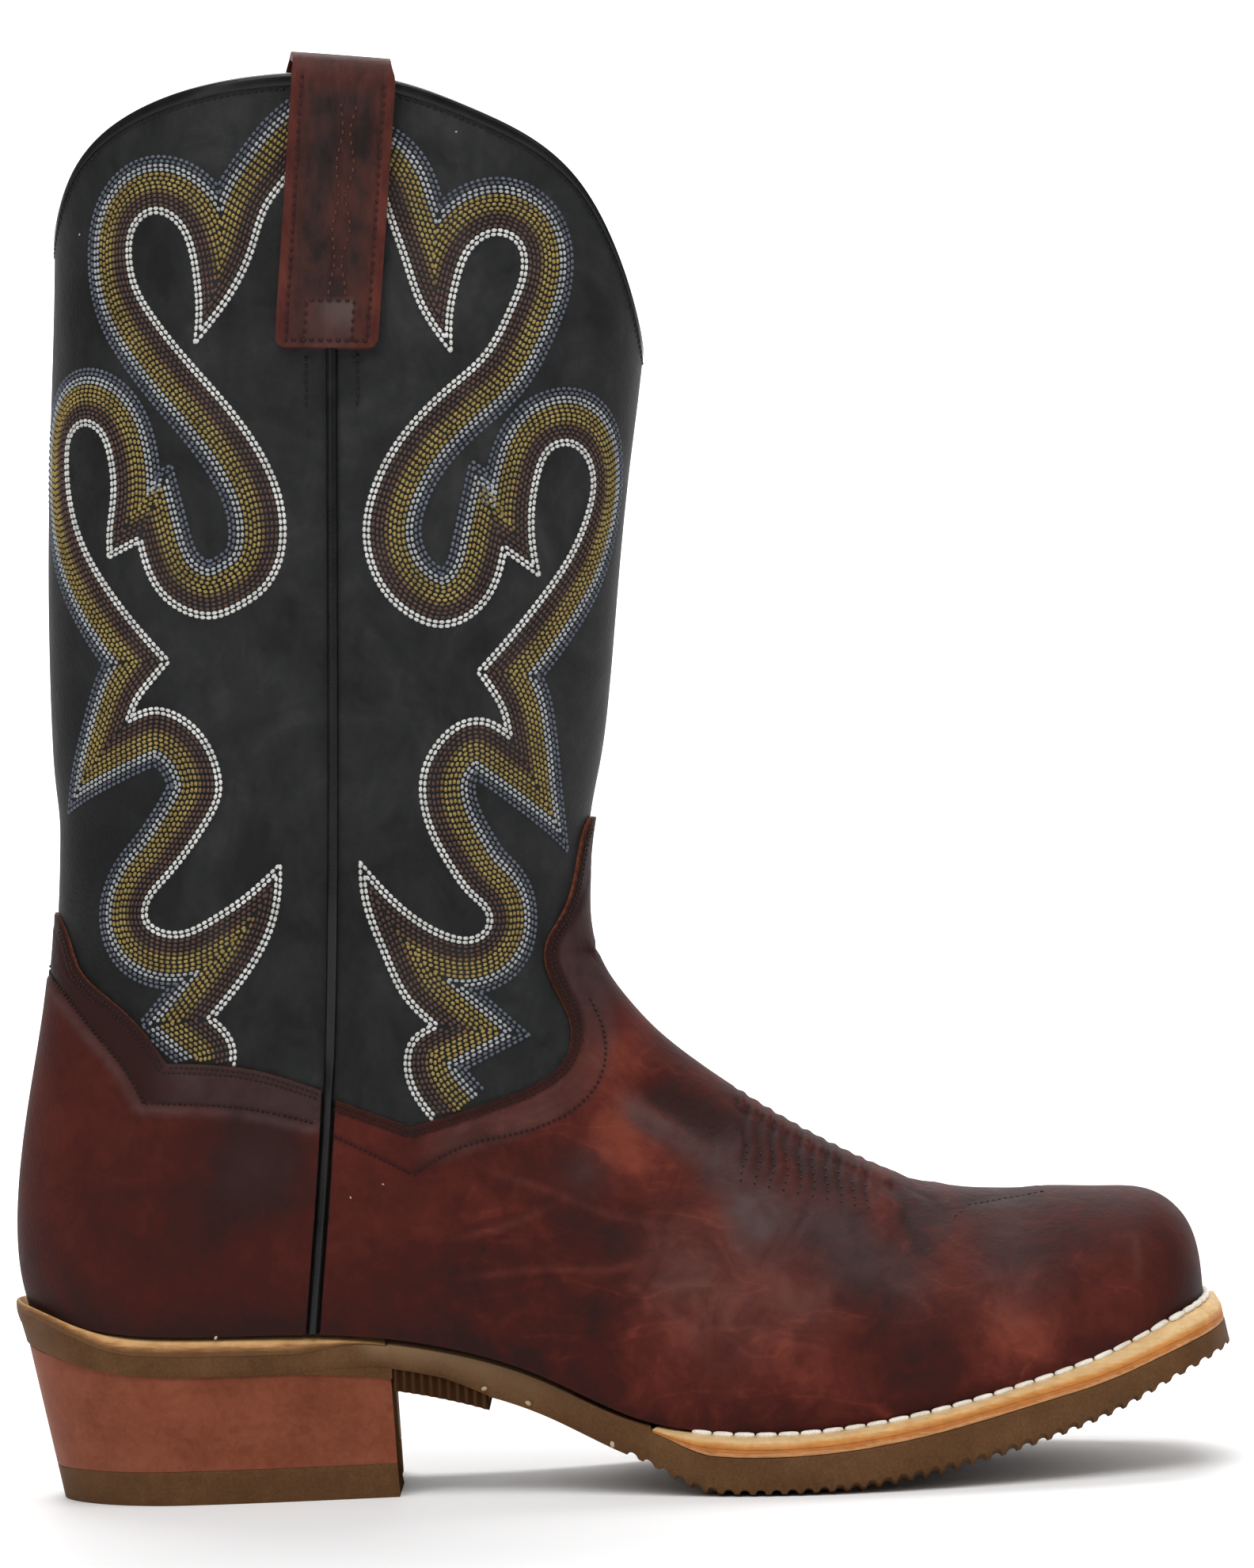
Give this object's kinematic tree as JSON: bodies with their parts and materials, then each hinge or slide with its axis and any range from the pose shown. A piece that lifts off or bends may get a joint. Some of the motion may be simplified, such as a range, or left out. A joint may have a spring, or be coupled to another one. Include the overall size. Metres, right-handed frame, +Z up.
{
  "type": "western boot",
  "caption": "Right western boot: tall scalloped shaft with a hollow upper, brown vamp and counter, pull straps, welted ribbed sole and walking heel.",
  "frame": {"origin": "on the floor under the middle of the boot's box", "axes": "+X towards the toe, -Y towards the outer side of the foot, +Z up"},
  "size_m": [0.31, 0.1101, 0.3595],
  "materials": {
    "shaft_leather": "satin",
    "vamp_leather": "waxed",
    "piping_leather": "satin",
    "welt_leather": "matte",
    "insole_leather": "matte",
    "sole_rubber": "matte",
    "heel_leather": "satin"
  },
  "bodies": {
    "root": {"upper": "shaft_leather", "vamp": "vamp_leather", "counter": "vamp_leather", "side_piping_outer": "piping_leather", "side_piping_inner": "piping_leather", "pull_strap_outer": "vamp_leather", "pull_strap_inner": "vamp_leather", "top_binding": "piping_leather", "insole": "insole_leather", "welt": "welt_leather", "heel_rand": "welt_leather", "outsole": "sole_rubber", "heel_block": "heel_leather", "heel_cap": "sole_rubber"}
  },
  "joints": []
}
